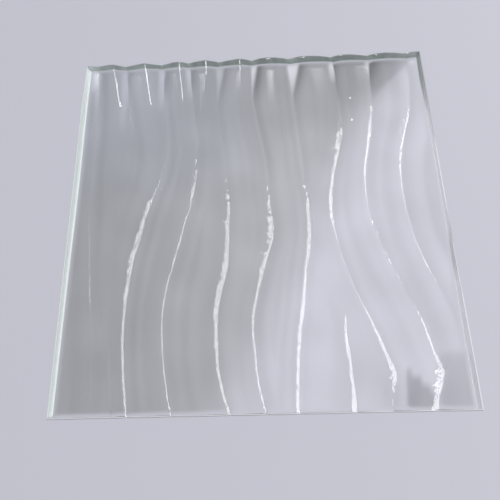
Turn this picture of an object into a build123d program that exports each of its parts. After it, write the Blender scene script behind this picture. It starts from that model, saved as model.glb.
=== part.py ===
from build123d import *
import os
from collections import namedtuple
from math import ceil

# Cut size of the panel, in millimetres. X runs across the waves and Y along them.
panel_width = 150.0
panel_length = 150.0
crest_thickness = 6.8  # from the flat back to the tops of the waves
groove_depth = 1.9  # from the tops of the waves to the bottom of a full groove
arris = 0.5  # softened edges round the back and down the corners

# The grooves between the waves are drawn by hand over seven guide lines that cross the panel.
guide_spacing = 25.0  # from one guide line to the next, counted from the panel's middle
outer_wave = 15.0  # width of the wave that each side edge cuts through
trim = 6.0  # how far the waves run on past the cut edges
section_spacing = 3.5  # between the sheet's sections: close enough that the grooves' bends stay round

# Section of one wave: each shoulder's handle, as a share of the wave's width, steep side first.
steep_shoulder = 0.24
gentle_shoulder = 0.36
handle_lift = 1 / 3  # a handle stands this share of its groove's depth above the crest

# A groove is given by the places where it crosses the guide lines, in mm from the panel's middle,
# from the near guide line to the far one, and by the share of the full depth that it has there.
Groove = namedtuple("Groove", "crossings depth_shares")
even_depth = (1, 1, 1, 1, 1, 1, 1)
grooves = [
    Groove((-60, -62, -64.5, -67, -68, -68, -70), (0.6, 0.6, 0.5, 0.5, 0.5, 0.5, 0.6)),
    Groove((-53, -56, -58, -56, -50.5, -53.5, -57.5), (0.8, 0.7, 0.6, 0.6, 0.7, 0.8, 1)),
    Groove((-47, -50, -49, -45, -37.5, -38, -40), even_depth),
    Groove((-31.5, -35.5, -34, -28, -23.5, -25.5, -29), even_depth),
    Groove((-10.5, -16, -14, -11, -12, -14.5, -14), even_depth),
    Groove((0.5, -2.5, 1, 5.5, 5.5, 1.5, 1), even_depth),
    Groove((13, 14, 18, 20, 20, 18.5, 17.5), even_depth),
    Groove((32.5, 31, 26, 25, 27, 28, 26), (1, 0.9, 0.2, 0, 0, 0, 0)),
    Groove((44.5, 43, 33.5, 29.5, 33.5, 37, 35), even_depth),
    Groove((58.5, 60.5, 50, 44, 46, 50.5, 51.5), even_depth),
    Groove((71.5, 69.5, 64, 58.5, 60, 66.5, 67.5), (0, 0.1, 0.6, 0.9, 1, 1, 1)),
]


def groove_bottom(groove):
    """The bottom of one groove: a curve in space that runs straight on past the outer guide lines."""
    last_line = guide_spacing * (len(groove.crossings) - 1) / 2
    points = [
        Vector(x, guide_spacing * line - last_line, crest_thickness - share * groove_depth)
        for line, (x, share) in enumerate(zip(groove.crossings, groove.depth_shares))
    ]
    overrun = (max(panel_length / 2 - last_line, 0) + 2 * trim) / guide_spacing
    near_end = points[0] + (points[0] - points[1]) * overrun
    far_end = points[-1] + (points[-1] - points[-2]) * overrun
    return Spline(near_end, *points, far_end)


def wave_section(bottoms, y):
    """Closed section of the sheet at y: a flat back, two upright sides and one arch for each wave."""
    cuts = [bottom & Plane((0, y, 0), z_dir=(0, 1, 0)) for bottom in bottoms]
    valleys = [(cut.X, min(cut.Z, crest_thickness)) for cut in cuts]
    side_height = crest_thickness - groove_depth
    left = min(-panel_width / 2 - trim, valleys[0][0] - outer_wave)
    right = max(panel_width / 2 + trim, valleys[-1][0] + outer_wave)
    valleys = [(left, side_height), *valleys, (right, side_height)]
    outline = [
        Line((left, y, side_height), (left, y, 0)),
        Line((left, y, 0), (right, y, 0)),
        Line((right, y, 0), (right, y, side_height)),
    ]
    for (x_start, z_start), (x_end, z_end) in zip(valleys, valleys[1:]):
        width = x_end - x_start
        start_lift = handle_lift * (crest_thickness - z_start)
        end_lift = handle_lift * (crest_thickness - z_end)
        outline.append(Bezier(
            (x_start, y, z_start),
            (x_start + steep_shoulder * width, y, crest_thickness + start_lift),
            (x_end - gentle_shoulder * width, y, crest_thickness + end_lift),
            (x_end, y, z_end),
        ))
    return make_face(outline)


def waved_sheet():
    """The sheet as it leaves the kiln: a loft through its sections, larger than the panel all round."""
    bottoms = [groove_bottom(groove) for groove in grooves]
    sheet_length = panel_length + 2 * trim
    strips = ceil(sheet_length / section_spacing)
    stations = [sheet_length * (row / strips - 0.5) for row in range(strips + 1)]
    return loft([wave_section(bottoms, y) for y in stations], ruled=True)


def glass_panel():
    """The panel: the waved sheet cut to size, with its back edges and corners softened."""
    cut = extrude(Rectangle(panel_width, panel_length), crest_thickness + groove_depth)
    panel = waved_sheet() & cut
    corners = panel.edges().filter_by(Axis.Z)
    back_edges = panel.edges().group_by(Axis.Z)[0]
    return chamfer(corners + back_edges, arris)


os.makedirs("parts", exist_ok=True)
export_step(glass_panel(), "parts/glass_panel.step")
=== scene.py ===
"""Fused glass panel: the waved glass with its grained grooves and ground edges, and the stage round it."""
from math import radians

import bpy
import numpy as np
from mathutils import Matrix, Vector


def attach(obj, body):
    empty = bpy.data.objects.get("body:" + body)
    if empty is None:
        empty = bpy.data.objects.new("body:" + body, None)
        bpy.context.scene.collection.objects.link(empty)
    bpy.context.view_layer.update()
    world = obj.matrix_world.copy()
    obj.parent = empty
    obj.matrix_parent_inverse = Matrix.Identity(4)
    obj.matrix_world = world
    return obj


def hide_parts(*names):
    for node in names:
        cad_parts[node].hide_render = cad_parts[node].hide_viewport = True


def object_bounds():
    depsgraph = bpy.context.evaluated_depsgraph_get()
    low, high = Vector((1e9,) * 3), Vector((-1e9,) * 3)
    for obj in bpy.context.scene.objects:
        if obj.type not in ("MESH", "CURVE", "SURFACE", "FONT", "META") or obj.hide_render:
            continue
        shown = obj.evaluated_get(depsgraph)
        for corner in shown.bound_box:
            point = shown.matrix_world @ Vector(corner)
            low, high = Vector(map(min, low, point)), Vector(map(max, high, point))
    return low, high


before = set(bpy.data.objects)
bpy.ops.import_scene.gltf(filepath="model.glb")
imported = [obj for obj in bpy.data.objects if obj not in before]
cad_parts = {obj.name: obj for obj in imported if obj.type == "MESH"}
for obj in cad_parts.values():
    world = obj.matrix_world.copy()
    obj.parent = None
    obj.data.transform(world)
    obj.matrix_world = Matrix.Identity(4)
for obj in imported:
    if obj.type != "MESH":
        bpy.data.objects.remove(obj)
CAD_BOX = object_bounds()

bl_info = {
    "name": "Fused glass panel",
    "version": (1, 0, 0),
    "blender": (4, 5, 0),
    "location": "View3D > Sidebar > Glass panel",
    "description": "Builds a waved fused glass panel round its packed solid, with a plain studio stage",
    "category": "Object",
}

MM = 0.001
FAR_EDGE = 75  # y of the panel's far edge, in mm
NEVER = np.inf  # a y that no wave reaches, for the waves that stay arches
GUIDE_LINES = MM * np.array((-75, -50, -25, 0, 25, 50, 75))

# Where each groove crosses the guide lines, in mm, and the share of the full depth that it has there. These
# are the solid's grooves, drawn up to 1.9 mm closer to the lines of light that they carry, and shallower at
# the far side.
CROSSINGS = MM * np.array((
    (-60, -62, -64.5, -67, -68, -68, -70),
    (-53, -56, -58, -56, -50.5, -53.5, -57.5),
    (-47, -50, -49.3, -44.2, -37.2, -38.2, -41.2),
    (-31.5, -35.5, -33.2, -27.2, -23.6, -25.5, -29),
    (-9.9, -15.1, -13.3, -10.7, -11.6, -14.5, -14),
    (2.3, -1.6, 2, 5.6, 5.5, 1.5, 1),
    (13.7, 14.8, 18.8, 20.8, 20.4, 18.5, 17.5),
    (33.1, 32.1, 26.5, 25, 27, 28.1, 27.4),
    (45, 43.3, 34.5, 29.9, 34.8, 38, 35.5),
    (59.8, 60.9, 51.7, 44.4, 46.6, 50.9, 51.8),
    (71.5, 71.4, 64.3, 59, 60.8, 67.6, 68),
))
DEPTH_SHARES = np.array((
    (0.6, 0.6, 0.5, 0.5, 0.5, 0.5, 0.5),
    (0.8, 0.7, 0.6, 0.6, 0.7, 0.8, 1),
    (1, 1, 1, 1, 1, 1, 1),
    (1, 1, 1, 1, 1, 0.95, 0.7),
    (1, 1, 1, 1, 1, 0.95, 0.9),
    (1, 1, 1, 1, 1, 0.95, 0.9),
    (1, 1, 1, 1, 1, 0.95, 0.9),
    (1, 0.9, 0.2, 0, 0, 0, 0),
    (1, 1, 1, 1, 1, 0.95, 0.85),
    (1, 1, 1, 1, 1, 0.95, 0.85),
    (0, 0.1, 0.6, 0.9, 1, 0.9, 0.6),
))
SHORT_GROOVE = 7  # the one that dies out by the panel's middle

# Ribbons: flat facets along the left wall of each groove, with a crisp crease at their foot, by knots along
# the panel: the place, the facet's width and how far the groove steps to the right, all in mm, and how
# broken up the ribbon is, from 0 to 1.
RIBBONS = (
    ((-75, 0.05, 0, 0.3), (-38, 0.15, 0, 0.3), (-30, 0.3, 0, 0.3), (-24, 0.15, 0, 0.3), (20, 0.05, 0, 0.3)),
    ((-75, 0.03, 0, 0.3), (30, 0.03, 0, 0.3), (43, 0.15, 0, 1), (46, 0.4, 0, 1), (52, 0.3, 0, 1),
     (55, 0, 0, 1)),
    ((-75, 0.5, 0, 0.2), (-36, 0.8, 0.1, 0.3), (-20, 1.5, 0.2, 0.5), (-12, 1.9, 0.5, 0.6),
     (-8, 1.9, 0.6, 0.6), (-5, 1.3, 0.3, 0.6), (0, 1.3, 0, 0.7), (5, 1.5, 0, 0.8), (8, 0.7, -0.2, 1),
     (11, 0.3, -0.3, 1), (22, 0.2, 0, 1), (26, 0, 0, 1)),
    ((-75, 0.5, 0, 0.2), (-50, 0.5, 0, 0.2), (-36, 0.5, -0.7, 0.2), (-30, 0.5, -0.7, 0.2),
     (-22, 0.5, -0.4, 0.2), (-13, 0.6, -0.3, 0.5), (-3, 0.6, -0.4, 0.6), (4, 0.5, -0.1, 0.7),
     (8, 0.7, 0, 0.8), (11, 1.3, 0.2, 0.7), (15, 0.8, 0, 0.7), (19, 0.8, 0, 0.8), (23, 0.6, -0.3, 0.9),
     (29, 0.3, -0.2, 1), (33, 0, 0, 1)),
    ((-75, 1.1, -0.6, 0.1), (-67, 1.1, -1, 0.1), (-60, 1.1, -0.9, 0.1), (-50, 1.3, 0, 0.2),
     (-38, 1.7, -0.1, 0.4), (-30, 2.1, 0.5, 0.5), (-26, 1.9, 1, 0.5), (-22, 1.8, 1.3, 0.5),
     (-18, 1.7, 1.3, 0.5), (-13, 1.7, 0.9, 0.6), (-8, 1.6, 0.5, 0.6), (-5, 1.4, 0.3, 0.6),
     (-2, 1.5, 0.2, 0.6), (1, 1.3, 0.4, 0.7), (5, 1.2, 0.2, 0.9), (9, 1.2, -0.4, 0.9), (12, 0.9, -0.7, 1),
     (15, 0.4, -0.9, 1), (17, 0, -0.9, 1)),
    ((-75, 0.8, -0.2, 0.1), (-66, 0.8, -0.5, 0.1), (-53, 0.8, 0, 0.1), (-45, 0.9, -0.6, 0.2),
     (-38, 1, -0.7, 0.3), (-31, 1.1, -0.5, 0.3), (-27, 1.3, -0.1, 0.4), (-23, 1.8, 0.3, 0.6),
     (-20.5, 1.6, 0.5, 0.9), (-18, 1.4, 0.9, 0.9), (-15.5, 1.5, 1.3, 0.9), (-13, 2, 1.8, 0.9),
     (-10, 2.4, 2, 0.8), (-6, 2.3, 1.8, 0.7), (-3, 2.1, 1.4, 0.8), (0, 1.7, 0.8, 0.9), (3, 1.4, 0.3, 0.8),
     (6, 1.1, -0.2, 0.7), (10, 0.8, -0.8, 0.7), (14, 0, -0.9, 0.6)),
    ((-75, 1.3, -0.5, 0.1), (-70, 1.3, -0.5, 0.1), (-64, 1.3, -0.2, 0.2), (-56, 1.3, 0, 0.2),
     (-48, 1.4, 0.2, 0.3), (-43, 1.5, 0.4, 0.2), (-37, 1.5, 0.6, 0.2), (-32, 1.2, 0, 0.2),
     (-29, 1.2, 0.1, 0.2), (-24, 1.1, -0.2, 0.4), (-18, 1.3, 0.5, 0.6), (-14, 1.5, 0.9, 0.6),
     (-8, 1.8, 1.1, 0.7), (-3, 1.8, 1.1, 0.7), (3, 1.6, 0.8, 0.8), (8, 1.3, 0.4, 0.8), (12, 1, -0.4, 0.9),
     (15, 0, -0.8, 1)),
    ((-75, 2, -0.2, 0.1), (-70, 1.8, -0.2, 0.1), (-66, 1.4, -0.4, 0.2), (-62, 1.2, -0.6, 0.2),
     (-57, 1.3, -0.4, 0.2), (-50, 1.3, -0.3, 0.2), (-46, 1.2, 0.5, 0.3), (-42, 0.6, 1.4, 0.4),
     (-39, 0, 1.6, 0.4)),
    ((-75, 0.1, 0.2, 1), (-71, 0.25, 0.5, 1), (-69.5, 0.1, 0.9, 1), (-67.5, 0.3, 1.3, 1),
     (-66, 0.9, 2.1, 1), (-64, 1.9, 3, 1), (-62, 2.1, 3.2, 1), (-60, 1.8, 2.8, 1), (-57.5, 1.5, 2, 0.8),
     (-55, 1.2, 1.3, 0.5), (-52, 1.1, 0.8, 0.3), (-48, 0.8, 0.2, 0.2), (-45, 0.6, 0, 0.2),
     (-42, 0.3, -0.2, 0.2), (-37, 0.2, -0.6, 0.2), (-31, 0.19, -0.7, 0.1), (-25, 0.17, 0, 0.1),
     (-11, 0.17, 0.5, 0.1), (-8, 0.2, 0.6, 0.5), (-4, 0.6, 0.6, 0.5), (2, 1, 0.6, 0.5), (6, 1.2, 0.4, 0.5),
     (10, 1.3, 0.1, 0.5), (15, 1.3, -0.1, 0.6), (22, 1.5, -0.2, 0.7), (26, 1.9, 0.1, 0.7),
     (30, 2.4, 0.4, 0.8), (33.5, 2.8, 0.6, 0.9), (36, 2.2, 0.6, 1), (39, 1.4, 0.3, 0.9), (42, 0.6, 0, 0.8),
     (44, 0, -0.1, 0.8), (60, 0, 0, 0)),
    ((-75, 2.6, 0.8, 0.2), (-71, 2.6, 0.9, 0.5), (-69.5, 2.3, 1.2, 0.9), (-68, 2.4, 1.8, 1),
     (-66, 2.9, 2.7, 1), (-64, 3.3, 3.3, 1), (-62, 3.2, 3.5, 1), (-60, 2.6, 3.1, 0.9), (-58, 1.4, 2.1, 0.7),
     (-55, 0.8, 1.1, 0.5), (-51, 0.6, 0.6, 0.4), (-48, 0.6, 0.4, 0.2), (-44, 0.4, 0.35, 0.1),
     (-41, 0.2, 0.1, 0.1), (-37, 0.17, -0.3, 0.1), (-25, 0.15, 0, 0.1), (-12, 0.15, 0.5, 0.1),
     (-8, 0.15, 0.4, 0.9), (-5, 0.25, 0.3, 1), (-2, 0.1, 0.3, 0.8), (2, 0.15, 0.4, 0.3), (5, 0.2, 0.4, 0.2),
     (11, 0.3, 0.3, 0.2), (18, 0.4, 0.1, 0.2), (24, 0.6, 0.3, 0.3), (32, 0.9, 0.7, 0.5),
     (36, 1.2, 0.9, 0.6), (40, 1.1, 0.9, 0.7), (43, 0.4, 0.7, 0.8), (46, 0.2, 0.5, 0.7),
     (48.5, 0.6, 0.3, 0.7), (51, 0.6, 0.2, 0.7), (54, 0, 0.1, 0.5), (66, 0, 0, 0)),
    ((-38, 0, 0.5, 0.2), (-31, 0.1, 0.6, 0.2), (-26, 0.2, 0.3, 0.2), (-20, 0.2, 0.2, 0.3),
     (-12, 0.15, 0.2, 0.4), (-5, 0.15, 0.2, 0.4), (3, 0.17, 0.5, 0.2), (12, 0.2, 0.5, 0.1),
     (20, 0.26, 0.3, 0.2), (28, 0.3, 0.1, 0.2), (34, 0.28, 0.1, 0.3), (40, 0.3, 0.2, 0.5),
     (42.5, 0.5, 0.2, 0.5), (45, 0.5, 0.1, 0.5), (47.5, 0.15, 0, 0.5), (50, 0, -0.1, 0.5), (60, 0, 0, 0)),
)

# Crest lines: where each wave's far part mirrors the catch light, as x in mm at the far edge and CREST_SPAN
# before it, and the y in mm from which the wave turns into a ridge.
CREST_SPAN = 25
CREST_LINES = np.array((
    (-76, -76, NEVER), (-62.9, -57.6, 44), (-48.6, -44, 44), (-32.9, -29.6, 42), (-20.6, -19.3, 56),
    (-5.3, -5, 58), (9.1, 10.5, NEVER), (22, 22, NEVER), (27.7, 28.4, NEVER), (43.2, 43.5, NEVER),
    (58.6, 58.4, NEVER), (76, 76, NEVER),
))

# The face's swell: a tilt along y at the left, and the changes to it across the panel. A change is an
# amount and an eased ramp, given by the places in mm where it is 0 and where it is 1.
LEFT_TILT = 0.028
TILT_CHANGES = ((-0.025, (-33, -21)), (-0.015, (-4, 8)), (0.015, (30, 42)))

# Painted pale wedges of light on the ground, below the grooves' far ends and in both far corners: left and
# right side at the far edge, tip and length in mm, then their strength and that of the painted shade on
# their right.
WEDGES = (
    (-75.5, -71.5, -73, 13, 0.9, 0),
    (-72.2, -69.9, -70.3, 32, 0.3, 0.12),
    (-60.1, -57.7, -58.4, 34, 0.35, 0.22),
    (-42.8, -39.8, -42.2, 24, 0.42, 0.28),
    (-30.8, -28.2, -29.2, 18, 0.5, 0.3),
    (-16.9, -13.1, -15.4, 21, 0.4, 0.36),
    (-0.4, 2.4, 0.1, 17, 1.05, 0.68),
    (16, 21.2, 18, 18, 1.1, 0.62),
    (35, 36.7, 35.5, 12, 0.95, 0.55),
    (51.5, 54, 52, 11, 0.8, 0.6),
    (72, 76, 76, 9, 0.45, 0),
)

# Painted light on the ground, as shares of that beside the panel. The border between the bright and the dim
# part is given by its x in mm at y = 0, its slope and its bend, and the light eases over the ramp round it.
# A change to the dim level is an amount and two eased ramps, across the panel and along it, or the first.
BRIGHT_LEVEL, DIM_LEVEL = 1.02, 0.58
BORDER = (25, 0.52, 0.0007)
BORDER_RAMP = (-16, 12)
DIM_CHANGES = (
    (0.19, (-75, 20)),
    (-0.152, (-75, 20), (20, 55)),
    (0.08, (0, -60), (15, 60)),
    (-0.1, (20, 45), (40, 70)),
)
WEDGE_LIGHT = 0.62  # what a wedge of strength 1 adds to it
RIM_SHADE = 0.8  # light on the ground right below the far and the left edge

# Painted shade on the cut edges: how dark they are, from 0 to 1, by knots of a place in mm and a value:
# the right one along y, below its rim and at the back, and the far one along x. The near one is equally
# dark all along.
PAINTED_SHADE_RIGHT_TOP = (
    (-75, 0.02), (-36, 0.02), (-31, 0.5), (-24, 0.8), (-9, 0.75),
    (-1, 0.3), (3, 0), (26, 0), (33, 0.7), (75, 0.75),
)
PAINTED_SHADE_RIGHT_BACK = (
    (-75, 0.02), (-30, 0.02), (-22, 0.4), (-14, 0.3), (-8, 0), (42, 0), (62, 0.75), (75, 0.8),
)
PAINTED_SHADE_FAR_SIDE = ((-75, 0.68), (-50, 0.8), (-20, 0.83), (5, 0.89), (60, 0.89), (75, 0.8))
PAINTED_SHADE_NEAR_SIDE = 0.8
# Colours of the cut edges: the glass's dark green-grey where painted shade falls, pale or grey in painted
# light
EDGE_IN_PAINTED_SHADE = (0.13, 0.17, 0.15)
PALE_EDGE_IN_PAINTED_LIGHT = (0.93, 1, 0.97)  # at the left and the far side
GREY_EDGE_IN_PAINTED_LIGHT = (0.87, 0.87, 0.9)  # at the right and the near side

# The mesh's rows and columns, the angles round an arris, the wall's rings and the gap by the back's grid.
FACE_ROWS = 221
BACK_COLUMNS, BACK_ROWS = 217, 87
ARRIS_ANGLES = 5
WALL_RINGS = (1 / 3, 2 / 3)
BACK_INSET = 1.5 * MM
FACE_SLOT, EDGE_SLOT, BACK_SLOT = range(3)

# Seeds of the random ripples, the first groove's where each has its own, and of the patches; and how many
# random heights a ripple has before it repeats.
FACET_SEED, FINE_FACET_SEED, SWERVE_SEED, STREAK_SEED = 0, 50, 90, 200
FLECK_SEED, PATCH_SEED = 5, 7
RIPPLE_HEIGHTS = 400

# Glass: its index of refraction; the grooves' grain and the ground edges' scratches, as a count per metre
# and a depth.
GLASS_IOR = 1.52
GRAIN_SCALE, GRAIN_DEPTH = 950, 0.13 * MM
SCRATCH_SCALE, SCRATCH_DEPTH = 900, 0.03 * MM

# The studio: a viewer's eye, a long low window on the right, which the facets are turned to, and a catch
# light beyond the far edge, which the crest lines are turned to.
EYE = np.array((0.0014, -0.0638, 0.1600))
EYE_TURN = (17.42, 1.976, -1.296)  # degrees about X, Y and Z
SENSOR_WIDTH = 36
FOCAL_PIXELS, IMAGE_PIXELS = 418, 500
WINDOW_X = 0.60
WINDOW_Y = (-0.32, 0.45)
WINDOW_Z = (0.275, 0.365)
WINDOW_POWER = 1.83
CATCH_LIGHT = np.array((0.03, 1.500, 1.485))
CATCH_TARGET = (0, 0.065, 0.007)
CATCH_SIZE = (0.22, 0.24)
CATCH_POWER = 1.85
LAMP_COLOR = (1, 1, 1)
SKY_COLOR, SKY_STRENGTH = (0.95, 0.97, 1, 1), 0.75
FLOOR_REACH = 3.0
FLOOR_GAP = 0.3 * MM  # between the floor and the panel's back, so that the two faces don't flicker


def length_value(name, description, default, least):
    """A property for a length in metres."""
    return bpy.props.FloatProperty(
        name=name, description=description, default=default, min=least, subtype="DISTANCE", unit="LENGTH")


class PanelSizes(bpy.types.PropertyGroup):
    """Sizes of the panel and of its waves."""

    crest_thickness: length_value(
        "Crest thickness", "From the flat back to the tops of the waves", 6.8 * MM, MM)
    groove_depth: length_value(
        "Groove depth", "From the tops of the waves to the bottom of a full groove", 1.9 * MM, 0)
    outer_wave: length_value(
        "Outer wave", "Width of the wave that each side edge cuts through", 15 * MM, MM)
    arris: length_value("Arris", "Radius of the softened cut edges", 0.5 * MM, 0.05 * MM)


class PanelFinish(bpy.types.PropertyGroup):
    """Colours of the glass's shade and of the stage."""

    shade_color: bpy.props.FloatVectorProperty(
        name="Shade colour",
        description="Share of the light that one face of the glass lets through to the floor",
        default=(0.99, 0.995, 0.995), size=3, min=0, max=1, subtype="COLOR")
    floor_color: bpy.props.FloatVectorProperty(
        name="Floor colour", description="Colour of the plain floor",
        default=(0.64, 0.63, 0.695), size=3, min=0, max=1, subtype="COLOR")


def smooth_step(low, high, value):
    """Eased ramp: 0 at low, 1 at high, 3t^2 - 2t^3 between them and level past them.

    Low may be the greater: then it falls as the value grows.
    """
    share = np.clip((value - low) / (high - low), 0, 1)
    return share * share * (3 - 2 * share)


def eased_sum(changes, *places):
    """Sum of changes, each an amount times its eased ramps: the first ramp is for the first place."""
    total = 0
    for amount, *ramps in changes:
        for ramp, place in zip(ramps, places):
            amount = amount * smooth_step(*ramp, place)
        total = total + amount
    return total


def knot_values(knots, place):
    """Values at places in metres, by straight lines between knots of a place in mm and a value."""
    knot_places, values = np.array(knots).T
    return np.interp(place / MM, knot_places, values)


def curve_through(values, y):
    """Natural cubic spline: meets each row of values on the guide lines, with slope and bend continuous."""
    step = GUIDE_LINES[1] - GUIDE_LINES[0]
    count = len(GUIDE_LINES)
    system = np.eye(count)
    inner = np.arange(1, count - 1)
    system[inner, inner] = 4
    system[inner, inner - 1] = 1
    system[inner, inner + 1] = 1
    bends = np.zeros_like(values)
    bends[:, 1:-1] = 6 * (values[:, 2:] - 2 * values[:, 1:-1] + values[:, :-2]) / step**2
    bends = np.linalg.solve(system, bends.T).T
    span = np.clip(((y - GUIDE_LINES[0]) / step).astype(int), 0, count - 2)
    share = (y - GUIDE_LINES[span]) / step
    left, right = values[:, span], values[:, span + 1]
    sag = (share**3 - share) * bends[:, span + 1] + ((1 - share)**3 - (1 - share)) * bends[:, span]
    return left + (right - left) * share + sag * step**2 / 6


class WaveField:
    """The waved face over rows of constant y: where its grooves lie, and its height at any x.

    A wave is a cubic arch that comes down no steeper than the facet at its foot, and less steeply where
    the groove's crease is soft; that slope is eased along y by a bell-shaped mean. The facet, on the left
    wall of the next groove, is flat and mirrors the window to the eye. Towards the far edge an arch may
    turn into a ridge with straight flanks: its drop at a distance v from the tip is in proportion to
    sqrt(v^2 + r^2) - r, where r, the radius of the tip, is the smaller the nearer the flank's slope is to
    the one that mirrors the catch light.
    """

    STEEP, GENTLE, LIFT = 0.24, 0.36, 1 / 3  # an arch's handles: shares of its width, and of its drops
    ARCH_STEPS = 400  # values of an arch's parameter, from which the one at x is read back
    OVERRUN = 6 * MM  # the least that the outer waves run on past the cut edges
    NARROWEST = 0.05 * MM  # a facet's width where its groove carries no ribbon
    WALL_SHARE = 0.8  # the most of a groove's depth that its facet takes up
    LEAST_SLOPE = 0.1  # a flatter facet counts as this steep when its width is limited
    OUTER_SLOPE = 0.3  # of the last facet, which lies past the right cut edge
    SOFT_END = 0.65  # slope at the foot of an arch without a crease, as a share of the facet's
    EASING = 6 * MM  # reach along y of the mean that eases it
    TURNING = 10 * MM  # length in which an arch turns into a ridge
    MARGIN = 0.25  # share of a wave's width that a crest line keeps from the grooves beside it
    TIP_LENGTH = 7.5 * MM  # radius of a tip whose flank has a slope of 1, where the catch light's is 0
    LEAST_RADIUS = 0.1 * MM
    MOST_LEAN = 0.85  # the most that the catch light's slope counts as a share of the flank's
    LEAST_STEEPNESS = 0.01  # a flatter flank counts as this steep in that share

    def __init__(self, sizes, y, half_width, with_short=True):
        grooves, waves = np.arange(len(CROSSINGS)), np.arange(len(CREST_LINES))
        if not with_short:
            grooves, waves = np.delete(grooves, SHORT_GROOVE), np.delete(waves, SHORT_GROOVE)
        self.sizes = sizes
        self.y = y
        drops = sizes.groove_depth * np.clip(curve_through(DEPTH_SHARES, y), 0, 1)[grooves]
        self.sharp, widths, steps, self.broken = (rows[grooves] for rows in ribbon_lines(y))
        self.grooves = curve_through(CROSSINGS, y)[grooves] + steps
        lean = np.gradient(self.grooves, y, axis=1)
        facet_slope = mirror_slope(self.grooves, y, sizes.crest_thickness, lean)
        widths = np.minimum(widths, self.WALL_SHARE * drops / np.maximum(facet_slope, self.LEAST_SLOPE))
        widths = np.maximum(widths, self.NARROWEST)

        rows = CREST_LINES[waves]
        past = (FAR_EDGE * MM - y) / (CREST_SPAN * MM)
        self.crest_lines = MM * (rows[:, :1] + (rows[:, 1:2] - rows[:, :1]) * past)
        self.turned = smooth_step(0, self.TURNING, y - rows[:, 2:] * MM)
        left = np.minimum(-half_width - self.OVERRUN, self.grooves[0] - sizes.outer_wave)
        right = np.maximum(half_width + self.OVERRUN, self.grooves[-1] + sizes.outer_wave)
        ones = np.ones_like(y)
        self.marks = np.vstack((left, self.grooves, right))
        self.drops = np.vstack((sizes.groove_depth * ones, drops, sizes.groove_depth * ones))
        self.widths = np.vstack((self.NARROWEST * ones, widths, self.NARROWEST * ones))
        self.slopes = np.vstack((0 * ones, facet_slope, self.OUTER_SLOPE * ones))
        near = np.exp(-((y[:, None] - y) / self.EASING)**2)
        eased = self.sharp @ (near / near.sum(axis=0))
        self.ends = self.slopes * np.vstack((ones, self.SOFT_END + (1 - self.SOFT_END) * eased, ones))

    def sides(self, wave):
        """x of a wave's first groove and of its arch's end, its facet's slope, and the drop at each."""
        slope, width = self.slopes[wave + 1][:, None], self.widths[wave + 1][:, None]
        end = self.marks[wave + 1][:, None] - width
        return (
            self.marks[wave][:, None], end, slope,
            self.drops[wave][:, None], self.drops[wave + 1][:, None] - slope * width,
        )

    def arch(self, wave, x):
        """Height of one wave's plain arch, a cubic Bezier curve, and facet at x, one row for each y.

        The curve's parameter is read back from x, which grows steadily with it.
        """
        start, end, slope, drop_a, drop_b = self.sides(wave)
        last_slope = self.ends[wave + 1][:, None]
        rise_b = np.minimum(self.LIFT * drop_b, last_slope * self.GENTLE * (end - start) - drop_b)
        t = np.linspace(0, 1, self.ARCH_STEPS)
        along = 3 * (1 - t)**2 * t * self.STEEP + 3 * (1 - t) * t**2 * (1 - self.GENTLE) + t**3
        t = np.interp((x - start) / (end - start), along, t)
        arch = (
            -drop_a * (1 - t)**3
            + 3 * (1 - t)**2 * t * self.LIFT * drop_a
            + 3 * (1 - t) * t**2 * rise_b
            - drop_b * t**3
        )
        return self.sizes.crest_thickness + arch - slope * np.maximum(x - end, 0)

    def ridge(self, wave, x):
        """Height of one wave at x as a ridge with straight flanks and a flat facet, one row for each y."""
        start, end, slope, drop_a, drop_b = self.sides(wave)
        margin = self.MARGIN * (end - start)
        line = np.clip(self.crest_lines[wave][:, None], start + margin, end - margin)
        lean = half_way_slope(line, self.y[:, None], self.sizes.crest_thickness, CATCH_LIGHT)
        steepness = np.where(lean > 0, drop_b / (end - line), drop_a / (line - start))
        share = np.minimum(np.abs(lean) / np.maximum(steepness, self.LEAST_STEEPNESS), self.MOST_LEAN)
        radius = np.maximum(self.TIP_LENGTH * steepness * (1 - share**2)**1.5, self.LEAST_RADIUS)
        tip = line - np.sign(lean) * radius * share / np.sqrt(1 - share**2)
        aside = np.minimum(x, end) - tip
        reach = np.where(aside < 0, tip - start, end - tip)
        fall = (np.sqrt(aside**2 + radius**2) - radius) / (np.sqrt(reach**2 + radius**2) - radius)
        drop = np.where(aside < 0, drop_a, drop_b)
        return self.sizes.crest_thickness - drop * fall - slope * np.maximum(x - end, 0)

    def height(self, wave, x):
        """Height of one wave at x, one row for each y: an arch that may turn into a ridge on its way."""
        arch = self.arch(wave, x)
        turned = self.turned[wave][:, None]
        if not turned.any():
            return arch
        return arch + (self.ridge(wave, x) - arch) * turned


def swell(x, y):
    """Swell of the whole face along y, in proportion to the tilt at x.

    It rises by the tilt times 17 mm, in an eased ramp, and past its top it falls at the tilt's own slope,
    into which it bends over a short length.
    """
    rise, rise_start, rise_end, fall_start, bend = MM * np.array((17, 10, 51, 48, 6))
    past = np.maximum(y - fall_start, 0)
    run = np.where(past < bend, past**2 / (2 * bend), past - bend / 2)
    tilt = LEFT_TILT + eased_sum(TILT_CHANGES, x / MM)
    return tilt * (rise * smooth_step(rise_start, rise_end, y) - run)


def ripple(along, length, seed):
    """Smooth random ripple between -1 and 1: random heights a length apart, joined by eased ramps."""
    heights = np.random.default_rng(seed).uniform(-1, 1, RIPPLE_HEIGHTS)
    place = (along - np.min(along)) / length
    low = np.floor(place).astype(int)
    share = smooth_step(0, 1, place - low)
    return heights[low % RIPPLE_HEIGHTS] * (1 - share) + heights[(low + 1) % RIPPLE_HEIGHTS] * share


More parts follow.
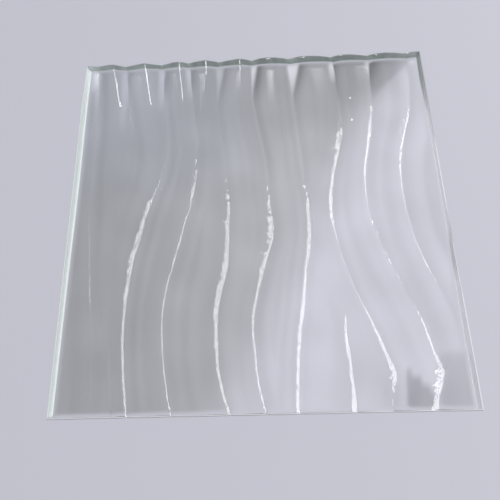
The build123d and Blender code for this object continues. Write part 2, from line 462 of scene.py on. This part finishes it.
def ribbon_lines(y):
    """How crisp each groove is, its facet's width, its step to the right and how broken up it is, in rows.

    Each is read off the knots by straight lines, and a groove is crisp where its facet has some width. Two
    seeded ripples, a long and a short one, roughen the width and a third the step, the more the ribbon is
    broken up.
    """
    long_ripple, short_ripple, swerve_length = 2.6 * MM, 0.9 * MM, 1.7 * MM
    long_share, least_rough, added_rough, most_swerve = 0.6, 0.1, 0.4, 0.28
    crisp_width = (0.02, 0.25)  # in mm: a groove is soft where its facet is narrower than the first
    count = len(CROSSINGS)
    width, step, broken = np.zeros((3, count, len(y)))
    for groove, knots in enumerate(RIBBONS):
        knot_y, *values = np.array(knots).T
        for rows, value in zip((width, step, broken), values):
            rows[groove] = np.interp(y / MM, knot_y, value)
    rough = np.array([
        long_share * ripple(y, long_ripple, FACET_SEED + groove)
        + ripple(y, short_ripple, FINE_FACET_SEED + groove)
        for groove in range(count)
    ])
    swerve = np.array([ripple(y, swerve_length, SWERVE_SEED + groove) for groove in range(count)])
    sharp = smooth_step(*crisp_width, width)
    width *= 1 + (least_rough + added_rough * broken) * rough
    step += most_swerve * sharp * broken * swerve
    return sharp, width * MM, step * MM, broken


def half_way_slope(x, y, height, lamp):
    """Slope across the panel of a surface that mirrors a small lamp to the eye: its normal is half way."""
    towards = [
        np.stack((place[0] - x, place[1] - y + 0 * x, place[2] - height + 0 * x)) for place in (EYE, lamp)
    ]
    normal = sum(ray / np.sqrt((ray**2).sum(axis=0)) for ray in towards)
    return normal[0] / normal[2]


def mirror_slope(x, y, height, lean):
    """Slope across the panel at which a groove's left wall mirrors the window's middle height to the eye.

    The wall's normal is (s, -s lean, 1). The line to the eye is mirrored in it and followed to the window's
    plane. It arrives too high where s is too small, so s is found by halving the span that it lies in.
    """
    flattest, steepest, halvings = 0.02, 2.5, 24
    middle = sum(WINDOW_Z) / 2
    to_eye = np.stack((EYE[0] - x, EYE[1] - y + 0 * x, EYE[2] - height + 0 * x))
    low, high = np.full_like(x, flattest), np.full_like(x, steepest)
    for _ in range(halvings):
        slope = (low + high) / 2
        normal = np.stack((slope, -slope * lean, np.ones_like(x)))
        mirrored = 2 * (to_eye * normal).sum(axis=0) / (normal**2).sum(axis=0) * normal - to_eye
        too_high = mirrored[2] * (WINDOW_X - x) > (middle - height) * mirrored[0]
        low, high = np.where(too_high, slope, low), np.where(too_high, high, slope)
    return slope


def wave_columns(field, wave, half_width):
    """x of one wave's columns: close together by its grooves, its facet and its crest line.

    Their distances from these are fixed, and are drawn together where the wave is too narrow for them. In
    between, two columns part the way in thirds. A facet has narrow columns at its top and foot, so that its
    shading stays flat.
    """
    after_groove = MM * np.array((0, 0.12, 0.3, 0.65, 1.3))
    before_facet = MM * np.array((0.9, 0.4, 0.15, 0))
    by_crest = MM * np.array((-1.1, -0.5, -0.2, 0, 0.2, 0.5, 1.1))
    full_wave, full_crest = 7 * MM, 1.3 * MM  # widths from which they aren't drawn together
    most = 0.3  # the most that a facet or one side of a crest line takes up of its room
    start = np.clip(field.marks[wave], -half_width, half_width)[:, None]
    end = np.clip(field.marks[wave + 1], -half_width, half_width)[:, None]
    room = end - start
    facet = np.minimum(field.widths[wave + 1][:, None], most * room)
    tight = np.minimum(room / full_wave, 1)
    rise, fall = tight * after_groove, tight * before_facet
    first, last = start + rise[:, -1:], end - facet - fall[:, :1]
    near = most * (last - first)
    line = np.clip(field.crest_lines[wave][:, None], first + near, last - near)
    crest = line + np.minimum(near / full_crest, 1) * by_crest
    thirds = np.array((1 / 3, 2 / 3))
    before = first + (crest[:, :1] - first) * thirds
    after = crest[:, -1:] + (last - crest[:, -1:]) * thirds
    border = np.minimum(0.06 * MM, 0.15 * facet)  # width of the columns at a facet's top and foot
    foot = end - facet + np.hstack((border, facet / 2, facet - 2.5 * border, facet - border, facet))
    return np.hstack((start + rise, before, crest, after, end - facet - fall, foot))


def nearest_groove(gap, *rows):
    """The groove nearest to each point, its signed distance, and each row's values at that groove."""
    nearest = np.argmin(np.abs(gap), axis=2)
    distance = np.take_along_axis(gap, nearest[:, :, None], axis=2)[:, :, 0]
    return nearest, distance, *(np.take_along_axis(row.T, nearest, axis=1) for row in rows)


def face_grid(sizes, half_width, half_length, rows):
    """The waved face on a grid of rows and columns: x, y, height, and grain where a ribbon is broken up.

    Where the short groove dies out, the face fades into that of a field without it. A groove's bottom is
    rounded: at a distance v from it, the face is raised by a quarter of a reach times (1 - v / reach)^2
    times the groove's share of the full depth. The reach is shortest at the foot of a facet.
    """
    whole_depth = 0.8  # the depth share from which the short groove doesn't fade
    grain_start, grain_end = (-0.5 * MM, 0), (0.1 * MM, 0.4 * MM)  # before the facet and past the groove
    least_grain, added_grain = 0.1, 0.9
    near_fill, far_fill, facet_fill = MM * np.array((0.6, 0.15, 0.07))
    fill_ramp = (30 * MM, 45 * MM)
    y = np.linspace(-half_length, half_length, rows)
    field = WaveField(sizes, y, half_width)
    xs, zs = [], []
    for wave in range(len(field.marks) - 1):
        x = wave_columns(field, wave, half_width)
        z = field.height(wave, x)
        shared = 1 if xs else 0  # the first column is the last of the wave before
        xs.append(x[:, shared:])
        zs.append(z[:, shared:])
    x, z = np.hstack(xs), np.hstack(zs)
    plain = WaveField(sizes, y, half_width, with_short=False)
    first, last = field.marks[SHORT_GROOVE][:, None], field.marks[SHORT_GROOVE + 2][:, None]
    fade = 1 - smooth_step(0, whole_depth, curve_through(DEPTH_SHARES, y)[SHORT_GROOVE])[:, None]
    z = np.where((x > first) & (x < last), z + (plain.height(SHORT_GROOVE, x) - z) * fade, z)

    rows_by_groove = (field.sharp, field.broken, field.widths[1:-1], field.drops[1:-1])
    gap = x[:, :, None] - field.grooves.T[:, None, :]
    _, distance, sharp, broken, width, drop = nearest_groove(gap, *rows_by_groove)
    grain = sharp * (least_grain + added_grain * broken) * smooth_step(*grain_start, distance + width)
    grain *= 1 - smooth_step(*grain_end, distance)
    fill = near_fill + (far_fill - near_fill) * smooth_step(*fill_ramp, y[:, None])
    fill = fill + (facet_fill - fill) * smooth_step(field.NARROWEST, 2 * field.NARROWEST, width)
    inside = np.clip(1 - np.abs(distance) / fill, 0, 1)
    z = z + 0.25 * drop / sizes.groove_depth * fill * inside**2 + swell(x, y[:, None])
    return x, np.broadcast_to(y[:, None], x.shape), z, grain


def grid_loop(rows, columns):
    """Indices of a grid's border, once round, counter-clockwise seen from above."""
    index = np.arange(rows * columns).reshape(rows, columns)
    return np.concatenate((index[0, :-1], index[:-1, -1], index[-1, :0:-1], index[:0:-1, 0]))


def wedge_light(across, far):
    """Pale wedges and the shade beside them: each wedge narrows evenly from the far edge to its tip.

    The shade falls off from the wedge's right side as exp(-(v / 3 mm)^2), and both fade with the distance
    from the far edge. A wedge is wider than it looks, because the groove above it hides what lies below.
    """
    hidden, shade_reach = 0.8, 3
    left_border, right_border, shade_border = (-0.6, 0.5), (0.4, -0.3), (0, 0.6)
    shade_length = (26, 4)
    back = FAR_EDGE - far
    pale, dark = np.zeros_like(across), np.zeros_like(across)
    for left, right, tip, length, glow, shade in WEDGES:
        share = np.clip(back / length, 0, 1)
        low, high = left - hidden + (tip - left) * share, right + hidden + (tip - right) * share
        inside = smooth_step(*left_border, across - low) * smooth_step(*right_border, across - high)
        pale += glow * inside * (1 - share**2)
        past = across - high
        fall = smooth_step(*shade_border, past) * np.exp(-(past / shade_reach)**2)
        dark += shade * fall * smooth_step(*shade_length, back)
    return pale, dark


def ground_light(across, far):
    """Light on the ground, and how far it is bright: bright near and right, dim far and left.

    The soft border between the two is a parabola that bends across the panel.
    """
    place, slope, bend = BORDER
    bright = smooth_step(*BORDER_RAMP, across - place - slope * far - bend * far**2)
    dim = DIM_LEVEL + eased_sum(DIM_CHANGES, across, far)
    return dim + (BRIGHT_LEVEL - dim) * bright, bright


def streak_light(far, gap, nearest, count):
    """Faint streaks that run along the grooves: a pale line, a dark one on its right, and random streaks.

    The lines are bell-shaped across the groove and stronger towards the far side. The random streaks are a
    seeded ripple for each groove, read by the distance from it.
    """
    pale_place, pale_reach, pale_strength = -0.3, 0.9, 0.07
    dark_place, dark_reach, dark_strength = 2.6, 1.3, 0.09
    near_share, far_share, far_ramp = 0.45, 0.55, (-10, 45)
    samples, reach, streak_length, streak_strength = 600, 12, 0.08, 0.055
    pale = np.exp(-((gap - pale_place) / pale_reach)**2)
    dark = np.exp(-((gap - dark_place) / dark_reach)**2)
    lines = pale_strength * pale - dark_strength * dark
    lines = (near_share + far_share * smooth_step(*far_ramp, far)) * lines
    place = np.clip((gap + reach) / (2 * reach) * (samples - 1), 0, samples - 1)
    low = np.minimum(place.astype(int), samples - 2)
    share = place - low
    along = np.linspace(0, 1, samples)
    streaks = np.array([ripple(along, streak_length, STREAK_SEED + groove) for groove in range(count)])
    streaks = streaks[nearest, low] * (1 - share) + streaks[nearest, low + 1] * share
    return lines + streak_strength * streaks


def patch_light(across, far):
    """Soft patches: the mean of a dozen slow waves with seeded directions, lengths and offsets."""
    count, shortest, longest, last_offset = 12, 14, 40, 6.3
    rng = np.random.default_rng(PATCH_SEED)
    turns = rng.uniform(0, np.pi, count)
    lengths = rng.uniform(shortest, longest, count)
    offsets = rng.uniform(0, last_offset, count)
    patch = np.zeros_like(across)
    for turn, length, offset in zip(turns, lengths, offsets):
        patch += np.sin(2 * np.pi * (across * np.cos(turn) + far * np.sin(turn)) / length + offset) / count
    return patch


def corner_shade(across, far):
    """Shade by the right corners, as a share of the light there: at the near corner and at the far one.

    The near one is a dark patch between two slanted lines and an upright one, a weaker patch right of it
    and a soft round one left of it. The far one lies above a line that rises to the right.
    """
    patch_shade, beside_shade, round_shade, far_shade = 0.36, 0.24, 0.12, 0.24
    left, top, side = 53.2, -60.8, 60.5  # in mm, as the other places here are
    patch = smooth_step(-0.6, 0.6, across - left - 0.14 * (far + 61))
    patch = patch * smooth_step(-0.8, 0.8, top - far - 1.03 * (across - left))
    patch = patch * smooth_step(side + 1, side, across)
    beside = smooth_step(62, 65, across) * smooth_step(-53, -58, far)
    round_patch = np.exp(-((across - 46) / 6)**2 - ((far + 70) / 12)**2)
    near_corner = patch_shade * patch + beside_shade * beside + round_shade * round_patch
    above = smooth_step(-2, 2, far - 60 - 1.05 * (across - 58.5))
    far_corner = far_shade * above * smooth_step(53, 58, across) * smooth_step(72.2, 71, across)
    return near_corner, far_corner


def shade_pattern(x, y, sizes, half_width):
    """Colour of the painted light and shade that the waves lay on the ground at x and y: 1 is as much as
    beside the panel.

    The ground's light is multiplied by faint streaks and patches and by the shade of wedges and corners,
    and the pale wedges are added. It is bluer at the far left and less blue where it is dim.
    """
    wall = 1.5  # in mm: a point belongs to the groove whose left wall, this far before it, is nearest
    patch_strength, less_red, more_blue, less_blue = 0.12, 0.035, 0.05, 0.04
    field = WaveField(sizes, y, half_width, with_short=False)
    gap = (x[:, :, None] - field.grooves.T[:, None, :]) / MM
    nearest, gap = nearest_groove(gap + wall)
    gap = gap - wall
    across, far = x / MM, np.broadcast_to(y[:, None] / MM, x.shape)

    light, bright = ground_light(across, far)
    pale, dark = wedge_light(across, far)
    near_corner, far_corner = corner_shade(across, far)
    streaks = streak_light(far, gap, nearest, len(field.grooves))
    light *= 1 + streaks + patch_strength * patch_light(across, far)
    light *= (1 - dark) * (1 - near_corner) * (1 - far_corner)
    light += WEDGE_LIGHT * pale

    blue = smooth_step(30, -60, across) * smooth_step(-10, 50, far)
    tint = 1 + np.stack((-less_red * blue, 0 * blue, more_blue * blue - less_blue * (1 - bright)), axis=-1)
    return light[:, :, None] * tint


def back_grid(sizes, half_width, half_length, first_index):
    """The flat back as a grid with its painted shade pattern, and its border loop.

    Its rows lie closest together at the far side: y runs as 1.65 t - 0.65 t^2.
    """
    share = np.linspace(0, 1, BACK_ROWS)
    line_y = half_length * (2 * (1.65 * share - 0.65 * share**2) - 1)
    x, y = np.meshgrid(np.linspace(-half_width, half_width, BACK_COLUMNS), line_y)
    index = first_index + np.arange(BACK_ROWS * BACK_COLUMNS).reshape(BACK_ROWS, BACK_COLUMNS)
    faces = np.column_stack((
        index[:-1, :-1].ravel(), index[1:, :-1].ravel(), index[1:, 1:].ravel(), index[:-1, 1:].ravel()))
    points = np.column_stack((x.ravel(), y.ravel(), np.zeros(x.size)))
    shade = shade_pattern(x, line_y, sizes, half_width)
    return points, faces, first_index + grid_loop(BACK_ROWS, BACK_COLUMNS), shade.reshape(-1, 3)


def zip_loops(points, outer, inner):
    """Triangles between two closed loops that run the same way round from the same corner.

    The corners of both are sorted by their angle about the middle. Each one in turn closes a triangle
    with the corner before it on its own loop and the last corner passed on the other.
    """
    turns, kinds = [], []
    for kind, loop in enumerate((outer, inner)):
        turn = np.unwrap(np.arctan2(points[loop, 1], points[loop, 0]))
        turns.append(np.append(turn[1:] - turn[0], 2 * np.pi))
        kinds.append(np.full(len(loop), kind))
    kind = np.concatenate(kinds)[np.argsort(np.concatenate(turns), kind="stable")]
    passed_outer = np.cumsum(kind == 0) % len(outer)
    passed_inner = np.cumsum(kind == 1) % len(inner)
    on_outer, on_inner = outer[passed_outer], inner[passed_inner]
    before = np.where(kind == 0, outer[passed_outer - 1], inner[passed_inner - 1])
    return np.column_stack((before, on_inner, on_outer))


def edge_colors_with_painted_light(x, y, outward, rim, level):
    """Colour of the cut edge with painted light and shade: painted shade at the far side, painted light at
    the left, both by turns at the right.

    The rim on top, where rim is 1, is paler than the wall, a painted highlight; at the near side and on
    part of the right one its inner border is the palest, a painted highlight too. Level runs from 0 below
    the rim
    to 1 at the back: the right side's stretches of painted shade shift on the way. Flecks at the far side
    are a seeded ripple along it.
    """
    # The paler rim and the pale lines along it are painted highlights
    inner_rim_highlight = (0.76, 0.86)
    highlight_start, highlight_end = (-34, -30), (-11, -17)  # y in mm of the palest stretch on the right
    right_rim_highlight, right_inner_highlight, other_rim_highlight = 0.15, 0.85, 0.45
    fleck_length, fleck_strength = 1.7 * MM, 0.2
    at_far, at_near, at_right = outward[:, 1] > 0, outward[:, 1] < 0, outward[:, 0] > 0
    top, bottom = knot_values(PAINTED_SHADE_RIGHT_TOP, y), knot_values(PAINTED_SHADE_RIGHT_BACK, y)
    right = top + (bottom - top) * smooth_step(0, 0.5, level)
    far_side = knot_values(PAINTED_SHADE_FAR_SIDE, x)
    # share of painted shade at each point of the edge
    dark = np.where(at_right & ~at_far, right, far_side * at_far + PAINTED_SHADE_NEAR_SIDE * at_near)
    fleck = 1 + fleck_strength * at_far * ripple(x, fleck_length, FLECK_SEED)
    inner = smooth_step(*inner_rim_highlight, rim)
    bright = smooth_step(*highlight_start, y / MM) * smooth_step(*highlight_end, y / MM)
    right_painted_highlight = right_rim_highlight * rim + right_inner_highlight * inner * bright
    painted_highlight = np.where(at_near, inner, np.where(at_right, right_painted_highlight, other_rim_highlight * rim))
    share = (dark * (1 - painted_highlight))[:, None]
    pale = np.where((at_right | at_near)[:, None], GREY_EDGE_IN_PAINTED_LIGHT, PALE_EDGE_IN_PAINTED_LIGHT)
    return np.clip((pale + (np.array(EDGE_IN_PAINTED_SHADE) - pale) * share) * fleck[:, None], 0, 1)


def outward_steps(border, half_width, half_length):
    """Which way each point of the face's border moves to get outside: -1, 0 or 1 along x and along y."""
    reach = np.array((half_width, half_length))
    return np.isclose(border[:, :2], reach).astype(float) - np.isclose(border[:, :2], -reach)


def side_rings(border_z, radius):
    """Rings from the face's border down to the back: reach outwards, height, rim and level of each.

    A ring moves outwards by r sin a and down by r (1 - cos a), for a from 0 to 90 degrees, then straight
    down, and the same again, turned over, at the back.
    """
    angles = np.linspace(0, np.pi / 2, ARRIS_ANGLES)
    rings = [
        (np.sin(angle), border_z - radius * (1 - np.cos(angle)), 1 - angle / np.pi, 0)
        for angle in angles[1:]
    ]
    rings += [(1, (border_z - radius) * (1 - share) + radius * share, 0, share) for share in WALL_RINGS]
    rings += [(np.sin(angle), radius * (1 - np.cos(angle)) + 0 * border_z, 0, 1) for angle in angles[::-1]]
    return rings


def panel_mesh(sizes):
    """Closed glass body: the waved grid, rings over its arris and down its sides, and a flat back."""
    half_width = (CAD_BOX[1][0] - CAD_BOX[0][0]) / 2 - sizes.arris
    half_length = (CAD_BOX[1][1] - CAD_BOX[0][1]) / 2 - sizes.arris
    x, y, z, grain = face_grid(sizes, half_width, half_length, FACE_ROWS)
    rows, columns = x.shape
    top = np.column_stack((x.ravel(), y.ravel(), z.ravel()))
    index = np.arange(rows * columns).reshape(rows, columns)
    strips = [np.column_stack((
        index[:-1, :-1].ravel(), index[:-1, 1:].ravel(), index[1:, 1:].ravel(), index[1:, :-1].ravel()))]
    loop = grid_loop(rows, columns)
    border = top[loop]
    outward = outward_steps(border, half_width, half_length)

    rings = side_rings(border[:, 2], sizes.arris)
    vertices, colors, previous = [top], [], loop
    for number, (reach, height, rim, level) in enumerate(rings):
        ring = np.column_stack((border[:, :2] + outward * sizes.arris * reach, height))
        vertices.append(ring)
        colors.append(edge_colors_with_painted_light(ring[:, 0], ring[:, 1], outward, rim, level))
        current = len(top) + number * len(loop) + np.arange(len(loop))
        strips.append(np.column_stack((previous, current, np.roll(current, -1), np.roll(previous, -1))))
        previous = current
    vertices = np.vstack(vertices)
    points, back_faces, inner_loop, shade = back_grid(
        sizes, half_width - BACK_INSET, half_length - BACK_INSET, len(vertices))
    vertices = np.vstack((vertices, points))
    seam = zip_loops(vertices, previous, inner_loop)

    count = len(vertices)
    # edge holds the cut edges' painted light and shade; light holds painted light and shade on the ground
    # below
    tones = {
        "grain": np.append(grain.ravel(), np.zeros(count - len(top))),
        "light": np.vstack((np.ones((count - len(shade), 3)), shade)),
        "edge": np.vstack((np.ones_like(top), np.vstack(colors), np.ones_like(shade))),
    }
    far_or_left = (outward[:, 1] > 0) | (outward[:, 0] < 0)
    tones["light"][previous] = np.where(far_or_left, RIM_SHADE, BRIGHT_LEVEL)[:, None]
    tones["edge"][loop] = colors[0]

    slots = [FACE_SLOT] + [EDGE_SLOT] * len(rings) + [BACK_SLOT] * 2
    round_strips = [True] * (ARRIS_ANGLES - 1)
    smooth = [True] + round_strips + [False] * (len(WALL_RINGS) + 1) + round_strips + [False] * 2
    faces = strips + [back_faces, seam]
    lengths = [len(part) for part in faces]
    corners = [corner for part in faces for corner in part.tolist()]
    return vertices, corners, tones, np.repeat(slots, lengths), np.repeat(smooth, lengths)


def new_mesh_object(name, vertices, faces):
    """A mesh object at the origin, with its vertices in metres."""
    mesh = bpy.data.meshes.new(name)
    mesh.from_pydata(vertices.tolist(), [], faces)
    mesh.update()
    thing = bpy.data.objects.new(name, mesh)
    bpy.context.scene.collection.objects.link(thing)
    return thing


def paint_points(mesh, tones):
    """Stores each tone on the mesh's points: a number each as a plain attribute, or a colour each."""
    for name, values in tones.items():
        if values.ndim == 1:
            mesh.attributes.new(name, "FLOAT", "POINT").data.foreach_set("value", values.astype(np.float32))
            continue
        full = np.column_stack((values, np.ones(len(values)))).astype(np.float32)
        mesh.attributes.new(name, "FLOAT_COLOR", "POINT").data.foreach_set("color", full.ravel())


def set_sockets(node, values):
    """Sets plain values on a node's sockets, by their names with an underscore for each space."""
    for name, value in values.items():
        node.inputs[name.replace("_", " ")].default_value = value


def node_of(tree, kind, **values):
    """A shader node of one kind, with plain values on its sockets."""
    node = tree.nodes.new(kind)
    set_sockets(node, values)
    return node


def math_node(tree, operation, kind="ShaderNodeMath"):
    """A math node that does one operation."""
    node = tree.nodes.new(kind)
    node.operation = operation
    return node


def attribute_node(tree, name):
    """A node that reads one of the mesh's attributes."""
    node = tree.nodes.new("ShaderNodeAttribute")
    node.attribute_name = name
    return node


def new_material(name, **values):
    """A material, its node tree and its Principled BSDF with plain values on its sockets."""
    material = bpy.data.materials.new(name)
    material.use_nodes = True
    shader = material.node_tree.nodes["Principled BSDF"]
    set_sockets(shader, values)
    return material, material.node_tree, shader


def groove_grain_group():
    """Shader group: plateaus parted by steep borders, the wider the higher the grain attribute is.

    The height is noise n passed through an eased ramp from 1/2 - w to 1/2 + w, where w is a share of the
    grain plus a little. It fades out where there is next to no grain.
    """
    ramp_reach, least_grain, full_grain = 0.045, 0.1, 0.15
    group = bpy.data.node_groups.new("Groove grain", "ShaderNodeTree")
    group.interface.new_socket("Grain size", in_out="INPUT", socket_type="NodeSocketFloat")
    group.interface.new_socket("Height", in_out="OUTPUT", socket_type="NodeSocketFloat")
    link = group.links.new
    entry = group.nodes.new("NodeGroupInput")
    leave = group.nodes.new("NodeGroupOutput")
    place = group.nodes.new("ShaderNodeTexCoord")
    grain = attribute_node(group, "grain")
    noise = node_of(group, "ShaderNodeTexNoise", Detail=1, Roughness=0.5)
    link(place.outputs["Object"], noise.inputs["Vector"])
    link(entry.outputs["Grain size"], noise.inputs["Scale"])
    ramp = group.nodes.new("ShaderNodeMapRange")
    ramp.interpolation_type = "SMOOTHSTEP"
    link(noise.outputs["Fac"], ramp.inputs["Value"])
    for end, reach in (("From Min", -ramp_reach), ("From Max", ramp_reach)):
        border = math_node(group, "MULTIPLY_ADD")
        border.inputs[1].default_value = reach
        border.inputs[2].default_value = 0.5 + least_grain * reach
        link(grain.outputs["Fac"], border.inputs[0])
        link(border.outputs[0], ramp.inputs[end])
    fade = node_of(group, "ShaderNodeMapRange", From_Max=full_grain)
    link(grain.outputs["Fac"], fade.inputs["Value"])
    broken = math_node(group, "MULTIPLY")
    link(ramp.outputs["Result"], broken.inputs[0])
    link(fade.outputs["Result"], broken.inputs[1])
    link(broken.outputs[0], leave.inputs["Height"])
    return group


def let_light_through(tree, finish):
    """Mixes in a Transparent shader for the rays that light what lies below, so that the shade is pale.

    Its colour is the finish's shade colour times the light attribute, which holds painted light and shade.
    """
    link = tree.links.new
    path = tree.nodes.new("ShaderNodeLightPath")
    either = math_node(tree, "MAXIMUM")
    tint = math_node(tree, "MULTIPLY", "ShaderNodeVectorMath")
    tint.inputs[0].default_value = finish.shade_color
    clear = node_of(tree, "ShaderNodeBsdfTransparent")
    mix = tree.nodes.new("ShaderNodeMixShader")
    link(attribute_node(tree, "light").outputs["Color"], tint.inputs[1])
    link(tint.outputs[0], clear.inputs["Color"])
    link(path.outputs["Is Shadow Ray"], either.inputs[0])
    link(path.outputs["Is Diffuse Ray"], either.inputs[1])
    link(either.outputs[0], mix.inputs[0])
    link(tree.nodes["Principled BSDF"].outputs[0], mix.inputs[1])
    link(clear.outputs[0], mix.inputs[2])
    link(mix.outputs[0], tree.nodes["Material Output"].inputs["Surface"])


def clear_glass():
    """Clear glass: smooth, with grained grooves."""
    material, tree, shader = new_material(
        "clear_glass", Base_Color=(1, 1, 1, 1), Transmission_Weight=1, Roughness=0, IOR=GLASS_IOR)
    grain = tree.nodes.new("ShaderNodeGroup")
    grain.node_tree = groove_grain_group()
    grain.inputs["Grain size"].default_value = GRAIN_SCALE
    bump = node_of(tree, "ShaderNodeBump", Strength=1, Distance=GRAIN_DEPTH)
    tree.links.new(grain.outputs["Height"], bump.inputs["Height"])
    tree.links.new(bump.outputs["Normal"], shader.inputs["Normal"])
    return material


def satin_back():
    """The flat back: clear glass, faintly satin from the kiln shelf."""
    material, _, _ = new_material(
        "satin_back", Base_Color=(1, 1, 1, 1), Transmission_Weight=1, Roughness=0.12, IOR=GLASS_IOR)
    return material


def ground_edge():
    """Finely ground cut edge: rough glass, finely scratched, dark green-grey or pale by its edge colour,
    which holds painted shade and painted light.
    """
    material, tree, shader = new_material(
        "ground_edge", Transmission_Weight=0.2, Roughness=0.4, IOR=GLASS_IOR)
    place = tree.nodes.new("ShaderNodeTexCoord")
    noise = node_of(tree, "ShaderNodeTexNoise", Scale=SCRATCH_SCALE, Detail=3, Roughness=0.7)
    bump = node_of(tree, "ShaderNodeBump", Strength=1, Distance=SCRATCH_DEPTH)
    # the edge colour is painted light and shade
    tree.links.new(attribute_node(tree, "edge").outputs["Color"], shader.inputs["Base Color"])
    tree.links.new(place.outputs["Object"], noise.inputs["Vector"])
    tree.links.new(noise.outputs["Fac"], bump.inputs["Height"])
    tree.links.new(bump.outputs["Normal"], shader.inputs["Normal"])
    return material


class OBJECT_OT_waved_glass(bpy.types.Operator):
    """Build the waved glass panel in place of its plain solid"""

    bl_idname = "object.waved_glass"
    bl_label = "Waved glass"

    def execute(self, context):
        vertices, faces, tones, slots, smooth = panel_mesh(context.scene.panel_sizes)
        panel = new_mesh_object("waved_glass", vertices, faces)
        mesh = panel.data
        paint_points(mesh, tones)
        mesh.polygons.foreach_set("material_index", slots.astype(np.int32))
        for material in (clear_glass(), ground_edge(), satin_back()):
            let_light_through(material.node_tree, context.scene.panel_finish)
            mesh.materials.append(material)
        mesh.polygons.foreach_set("use_smooth", smooth)
        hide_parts("glass_panel")
        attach(panel, "root")
        return {"FINISHED"}


def soft_light(name, place, target, size, power):
    """A rectangular area light of a width and a height that looks from place to target."""
    lamp = bpy.data.lights.new(name, "AREA")
    lamp.shape = "RECTANGLE"
    lamp.size, lamp.size_y = size
    lamp.energy = power
    lamp.color = LAMP_COLOR
    thing = bpy.data.objects.new(name, lamp)
    thing.location = place
    direction = np.array(target) - np.array(place)
    thing.rotation_euler = Vector(direction).to_track_quat("-Z", "Y").to_euler()
    bpy.context.scene.collection.objects.link(thing)


def plain_floor(color):
    """A square floor just below the panel, in matt paper."""
    corners = FLOOR_REACH * np.array(((-1, -1, 0), (1, -1, 0), (1, 1, 0), (-1, 1, 0)))
    corners[:, 2] = CAD_BOX[0][2] - FLOOR_GAP
    floor = new_mesh_object("floor", corners, [[0, 1, 2, 3]])
    paint, _, _ = new_material(
        "floor_paper", Base_Color=(*color, 1), Roughness=0.9, Specular_IOR_Level=0.1)
    floor.data.materials.append(paint)
    return floor


class SCENE_OT_panel_stage(bpy.types.Operator):
    """Set up the floor, the soft lights and the camera"""

    bl_idname = "scene.panel_stage"
    bl_label = "Stage"

    def execute(self, context):
        plain_floor(context.scene.panel_finish.floor_color)

        world = bpy.data.worlds.new("studio")
        world.use_nodes = True
        context.scene.world = world
        set_sockets(world.node_tree.nodes["Background"], {"Color": SKY_COLOR, "Strength": SKY_STRENGTH})
        middle = (WINDOW_X, sum(WINDOW_Y) / 2, sum(WINDOW_Z) / 2)
        window_size = (WINDOW_Y[1] - WINDOW_Y[0], WINDOW_Z[1] - WINDOW_Z[0])
        soft_light("window", middle, (0, middle[1], middle[2]), window_size, WINDOW_POWER)
        soft_light("catch_light", CATCH_LIGHT, CATCH_TARGET, CATCH_SIZE, CATCH_POWER)

        lens = bpy.data.cameras.new("camera")
        lens.sensor_width = SENSOR_WIDTH
        lens.lens = SENSOR_WIDTH * FOCAL_PIXELS / IMAGE_PIXELS
        camera = bpy.data.objects.new("camera", lens)
        camera.location = EYE
        camera.rotation_euler = [radians(turn) for turn in EYE_TURN]
        context.scene.collection.objects.link(camera)
        context.scene.camera = camera
        context.scene.view_settings.view_transform = "Standard"
        return {"FINISHED"}


class VIEW3D_PT_glass_panel(bpy.types.Panel):
    """Sidebar panel that lists the pieces and their values"""

    bl_label = "Glass panel"
    bl_idname = "VIEW3D_PT_glass_panel"
    bl_space_type = "VIEW_3D"
    bl_region_type = "UI"
    bl_category = "Glass panel"

    def draw(self, context):
        for group in (context.scene.panel_sizes, context.scene.panel_finish):
            for name in group.__annotations__:
                self.layout.prop(group, name)
        self.layout.operator(OBJECT_OT_waved_glass.bl_idname)
        self.layout.operator(SCENE_OT_panel_stage.bl_idname)


CLASSES = (PanelSizes, PanelFinish, OBJECT_OT_waved_glass, SCENE_OT_panel_stage, VIEW3D_PT_glass_panel)


def register():
    """Registers the classes and puts the panel's values on the scene."""
    for one in CLASSES:
        bpy.utils.register_class(one)
    bpy.types.Scene.panel_sizes = bpy.props.PointerProperty(type=PanelSizes)
    bpy.types.Scene.panel_finish = bpy.props.PointerProperty(type=PanelFinish)


def unregister():
    """Takes the values off the scene and unregisters the classes, last first."""
    del bpy.types.Scene.panel_finish
    del bpy.types.Scene.panel_sizes
    for one in reversed(CLASSES):
        bpy.utils.unregister_class(one)


def main():
    """Registers the add-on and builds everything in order."""
    register()
    bpy.ops.object.waved_glass()
    bpy.ops.scene.panel_stage()


if __name__ == "__main__":
    main()
